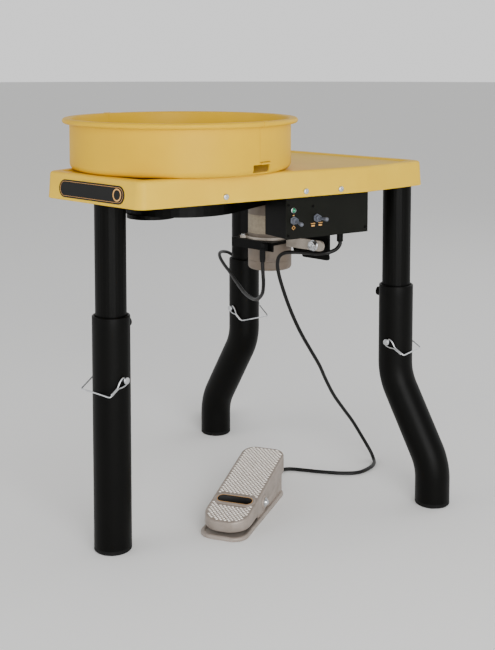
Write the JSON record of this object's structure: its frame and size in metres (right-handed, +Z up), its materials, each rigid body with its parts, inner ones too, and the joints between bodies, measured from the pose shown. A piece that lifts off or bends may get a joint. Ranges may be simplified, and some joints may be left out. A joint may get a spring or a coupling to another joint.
{
  "type": "electric pottery wheel",
  "caption": "Electric pottery wheel: split splash pan round a wheel head, on a tapered table with telescoping legs, belt drive, control box and foot pedal.",
  "frame": {"origin": "on the floor under the middle of the machine's box, cords left out", "axes": "+Z up; +Y from the narrow front with the single leg to the wide rear with two legs; +X to the side with the control box"},
  "size_m": [0.8099, 0.7953, 0.827],
  "materials": {
    "yellow_moulding": "moulded, fine satin grain",
    "black_enamel": "satin baked enamel",
    "black_rubber": "matt",
    "zinc_plate": "bright zinc plate",
    "ground_steel": "ground",
    "machined_aluminium": "turned",
    "cast_aluminium": "tumbled sand casting",
    "motor_paint": "semi-matt paint",
    "panel_enamel": "matt enamel",
    "green_lens": "clear moulded lens",
    "circuit_board": "lacquered board",
    "grey_plastic": "moulded",
    "cord_jacket": "semi-matt jacket"
  },
  "bodies": {
    "table_and_frame": {"table_top": "yellow_moulding", "frame_rail_left": "black_enamel", "frame_rail_right": "black_enamel", "frame_front_plate": "black_enamel", "frame_motor_crossbar": "black_enamel", "frame_rear_crossbar": "black_enamel", "bearing_plate": "black_enamel", "bearing_housing": "black_enamel", "belt_guard": "black_enamel", "motor_shelf": "black_enamel", "control_box": "black_enamel", "upper_leg_front": "black_enamel", "upper_leg_rear_left": "black_enamel", "upper_leg_rear_right": "black_enamel", "bearing_lower": "ground_steel", "bearing_upper": "ground_steel", "belt_tension_bolt": "zinc_plate", "power_switch_body": "zinc_plate", "direction_switch_body": "zinc_plate", "pedal_pivot_bolt": "zinc_plate", "drive_belt": "black_rubber", "pedal_strain_relief": "black_rubber", "motor_body": "motor_paint", "motor_flange": "cast_aluminium", "belt_tension_arm": "cast_aluminium", "pedal_base": "cast_aluminium", "control_panel": "panel_enamel", "nameplate": "panel_enamel", "power_lamp": "green_lens", "speed_controller_board": "circuit_board", "pedal_cord": "cord_jacket", "mains_cord": "cord_jacket", "mains_gland": "cord_jacket", "mains_hank": "cord_jacket", "mains_plug": "cord_jacket"},
    "wheel": {"wheel_head": "machined_aluminium", "wheel_shaft": "ground_steel", "driven_pulley": "machined_aluminium"},
    "motor_rotor": {"motor_pulley": "zinc_plate"},
    "treadle": {"pedal_treadle": "cast_aluminium", "pedal_badge": "panel_enamel"},
    "power_toggle": {"power_switch_lever": "grey_plastic"},
    "direction_toggle": {"direction_switch_lever": "grey_plastic"},
    "front_pan_half": {"splash_pan_front": "yellow_moulding"},
    "rear_pan_half": {"splash_pan_rear": "yellow_moulding"},
    "sliding_leg_front": {"lower_leg_front": "black_enamel", "foot_front": "black_rubber", "clamp_bolt_front": "zinc_plate"},
    "pin_front": {"lock_pin_front": "zinc_plate"},
    "keeper_front": {"pin_keeper_front": "zinc_plate"},
    "sliding_leg_rear_left": {"lower_leg_rear_left": "black_enamel", "foot_rear_left": "black_rubber", "clamp_bolt_rear_left": "zinc_plate"},
    "pin_rear_left": {"lock_pin_rear_left": "zinc_plate"},
    "keeper_rear_left": {"pin_keeper_rear_left": "zinc_plate"},
    "sliding_leg_rear_right": {"lower_leg_rear_right": "black_enamel", "foot_rear_right": "black_rubber", "clamp_bolt_rear_right": "zinc_plate"},
    "pin_rear_right": {"lock_pin_rear_right": "zinc_plate"},
    "keeper_rear_right": {"pin_keeper_rear_right": "zinc_plate"}
  },
  "joints": [
    {"name": "wheel_spin", "type": "hinge", "parent": "table_and_frame", "child": "wheel", "pos_m": [0, -0.1135, 0.7], "axis": [0, 0, 1], "continuous": true},
    {"name": "motor_spin", "type": "hinge", "parent": "table_and_frame", "child": "motor_rotor", "pos_m": [0, 0.1525, 0.64], "axis": [0, 0, 1], "continuous": true},
    {"name": "leg_slide_front", "type": "slide", "parent": "table_and_frame", "child": "sliding_leg_front", "axis": [0, 0, 1], "range_m": [-0.155, 0]},
    {"name": "pin_pull_front", "type": "slide", "parent": "sliding_leg_front", "child": "pin_front", "axis": [0.9998, 0.0175, 0], "range_m": [0, 0.08]},
    {"name": "keeper_swing_front", "type": "hinge", "parent": "pin_front", "child": "keeper_front", "pos_m": [0.03929, -0.29681, 0.338], "axis": [0.0092, -0.5298, 0.848], "range_deg": [0, 168]},
    {"name": "leg_slide_rear_left", "type": "slide", "parent": "table_and_frame", "child": "sliding_leg_rear_left", "axis": [0, 0, 1], "range_m": [-0.155, 0]},
    {"name": "pin_pull_rear_left", "type": "slide", "parent": "sliding_leg_rear_left", "child": "pin_rear_left", "axis": [-0.1478, -0.989, 0], "range_m": [0, 0.08]},
    {"name": "keeper_swing_rear_left", "type": "hinge", "parent": "pin_rear_left", "child": "keeper_rear_left", "pos_m": [-0.23181, 0.27063, 0.338], "axis": [-0.5241, 0.0783, -0.848], "range_deg": [0, 168]},
    {"name": "leg_slide_rear_right", "type": "slide", "parent": "table_and_frame", "child": "sliding_leg_rear_right", "axis": [0, 0, 1], "range_m": [-0.155, 0]},
    {"name": "pin_pull_rear_right", "type": "slide", "parent": "sliding_leg_rear_right", "child": "pin_rear_right", "axis": [0.1478, -0.989, 0], "range_m": [0, 0.08]},
    {"name": "keeper_swing_rear_right", "type": "hinge", "parent": "pin_rear_right", "child": "keeper_rear_right", "pos_m": [0.23181, 0.27063, 0.338], "axis": [-0.5241, -0.0783, -0.848], "range_deg": [0, 168]},
    {"name": "treadle_tilt", "type": "hinge", "parent": "table_and_frame", "child": "treadle", "pos_m": [0.0746, -0.01405, 0.034], "axis": [-0.9166, -0.3999, 0], "range_deg": [0, 10]},
    {"name": "power_toggle_flip", "type": "hinge", "parent": "table_and_frame", "child": "power_toggle", "pos_m": [0.20968, -0.00574, 0.627], "axis": [-0.2471, -0.969, 0], "range_deg": [0, 24]},
    {"name": "direction_toggle_flip", "type": "hinge", "parent": "table_and_frame", "child": "direction_toggle", "pos_m": [0.22351, 0.04853, 0.628], "axis": [0, 0, -1], "range_deg": [0, 24]},
    {"name": "front_pan_pull", "type": "slide", "parent": "table_and_frame", "child": "front_pan_half", "axis": [0, -1, 0], "range_m": [0, 0.24]},
    {"name": "rear_pan_pull", "type": "slide", "parent": "table_and_frame", "child": "rear_pan_half", "axis": [0, 1, 0], "range_m": [0, 0.24]}
  ],
  "couplings": [
    {"joint": "motor_spin", "follows": "wheel_spin", "ratio": 6.875},
    {"joint": "keeper_swing_front", "follows": "pin_pull_front", "rad_per_m": 36.6},
    {"joint": "keeper_swing_rear_left", "follows": "pin_pull_rear_left", "rad_per_m": 36.6},
    {"joint": "keeper_swing_rear_right", "follows": "pin_pull_rear_right", "rad_per_m": 36.6}
  ]
}
